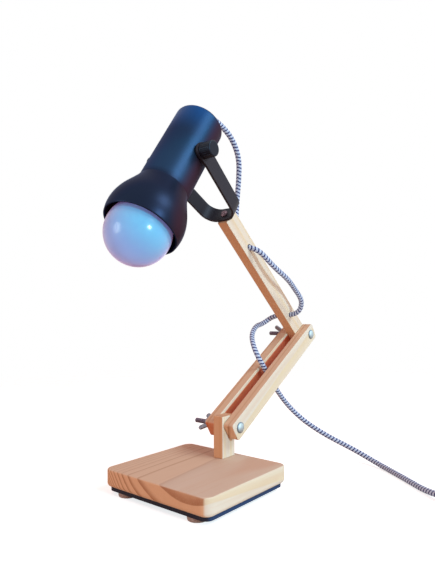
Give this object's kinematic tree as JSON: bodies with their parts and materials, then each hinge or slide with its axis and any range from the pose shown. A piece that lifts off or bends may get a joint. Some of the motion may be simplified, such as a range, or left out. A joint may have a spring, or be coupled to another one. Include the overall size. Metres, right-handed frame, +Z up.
{
  "type": "architect lamp",
  "caption": "Desk lamp with a wooden base, two jointed wooden arms, a painted metal spot head on a tilting yoke, and a braided cord.",
  "frame": {"origin": "centre of the base on the table", "axes": "+Z up; +X along the base toward the elbow, the arms move in the XZ plane; +Y along the pivot bolts toward the wing nuts"},
  "size_m": [0.3271, 0.4005, 0.3731],
  "materials": {
    "pine": "oiled",
    "plate_paint": "satin",
    "felt": "matt",
    "zinc": "bright zinc",
    "head_paint": "satin",
    "yoke_paint": "satin",
    "black_plastic": "matt",
    "brass": "plain",
    "opal": "opal",
    "bulb_white": "gloss",
    "aluminium": "plain",
    "braid": "braided",
    "tie": "woven",
    "nickel": "nickel"
  },
  "bodies": {
    "base": {"base_block": "pine", "base_plate": "plate_paint", "plate_screws": "zinc", "base_feet": "felt", "post": "pine", "post_screw": "zinc", "cord_to_switch": "braid", "cord_to_coil": "braid", "cord_coil": "braid", "coil_tie": "tie", "cord_to_plug": "braid", "plug_body": "black_plastic", "plug_pins": "nickel", "switch_lower": "black_plastic", "switch_upper": "black_plastic", "switch_screws": "zinc", "switch_terminals": "brass", "rocker_pin": "zinc", "switch_grommets": "black_plastic"},
    "lower_arm": {"slat_near": "pine", "slat_far": "pine", "lower_bolt": "zinc", "elbow_bolt": "zinc", "lower_washer": "zinc", "elbow_washer": "zinc"},
    "lower_wing_nut": {"lower_wing_nut": "zinc"},
    "elbow_wing_nut": {"elbow_wing_nut": "zinc"},
    "upper_arm": {"upper_arm": "pine", "yoke_screw": "zinc", "cord_head_loop": "braid", "cord_arm_loop": "braid", "cord_elbow_loop": "braid"},
    "yoke": {"yoke": "yoke_paint"},
    "head": {"head_shell": "head_paint", "pivot_inserts": "brass", "holder_body": "black_plastic", "holder_screw_shell": "brass", "holder_contact": "brass", "holder_cap": "black_plastic", "nipple": "zinc", "nipple_nut": "zinc", "cord_gland": "black_plastic", "cord_in_head": "braid"},
    "tilt_knob_near": {"tilt_knob_near": "black_plastic"},
    "tilt_knob_far": {"tilt_knob_far": "black_plastic"},
    "bulb": {"bulb_globe": "opal", "bulb_body": "bulb_white", "bulb_led_board": "aluminium", "bulb_cap": "aluminium", "bulb_contact": "brass"},
    "switch_rocker": {"switch_rocker": "black_plastic"}
  },
  "joints": [
    {"name": "base_pivot", "type": "hinge", "parent": "base", "child": "lower_arm", "pos_m": [0.0465, 0, 0.0561], "axis": [0, 1, 0], "range_deg": [-60, 25], "deforming": ["cord_to_switch"]},
    {"name": "elbow_pivot", "type": "hinge", "parent": "lower_arm", "child": "upper_arm", "pos_m": [0.1916, 0, 0.14467], "axis": [0, -1, 0], "range_deg": [-100, 30], "deforming": ["cord_elbow_loop"]},
    {"name": "yoke_swivel", "type": "hinge", "parent": "upper_arm", "child": "yoke", "pos_m": [0.04684, 0, 0.27457], "axis": [-0.8192, 0, 0.5736], "range_deg": [-60, 60], "deforming": ["cord_head_loop"]},
    {"name": "head_tilt", "type": "hinge", "parent": "yoke", "child": "head", "pos_m": [-0.0187, 0, 0.32045], "axis": [0, 1, 0], "range_deg": [-50, 40], "deforming": ["cord_head_loop"]},
    {"name": "lower_wing_nut_turn", "type": "hinge", "parent": "lower_arm", "child": "lower_wing_nut", "pos_m": [0.0465, 0, 0.0561], "axis": [0, 1, 0], "range_deg": [0, 360]},
    {"name": "elbow_wing_nut_turn", "type": "hinge", "parent": "lower_arm", "child": "elbow_wing_nut", "pos_m": [0.1916, 0, 0.14467], "axis": [0, 1, 0], "range_deg": [0, 360]},
    {"name": "near_knob_turn", "type": "hinge", "parent": "head", "child": "tilt_knob_near", "pos_m": [-0.0187, 0, 0.32045], "axis": [0, -1, 0], "range_deg": [0, 360]},
    {"name": "far_knob_turn", "type": "hinge", "parent": "head", "child": "tilt_knob_far", "pos_m": [-0.0187, 0, 0.32045], "axis": [0, 1, 0], "range_deg": [0, 360]},
    {"name": "bulb_turn", "type": "hinge", "parent": "head", "child": "bulb", "pos_m": [-0.07066, 0, 0.24624], "axis": [0.5736, 0, 0.8192], "range_deg": [0, 360]},
    {"name": "switch_rock", "type": "hinge", "parent": "base", "child": "switch_rocker", "pos_m": [0.1004, -0.2572, 0.013], "axis": [0.9799, -0.1994, 0], "range_deg": [0, 16]}
  ]
}
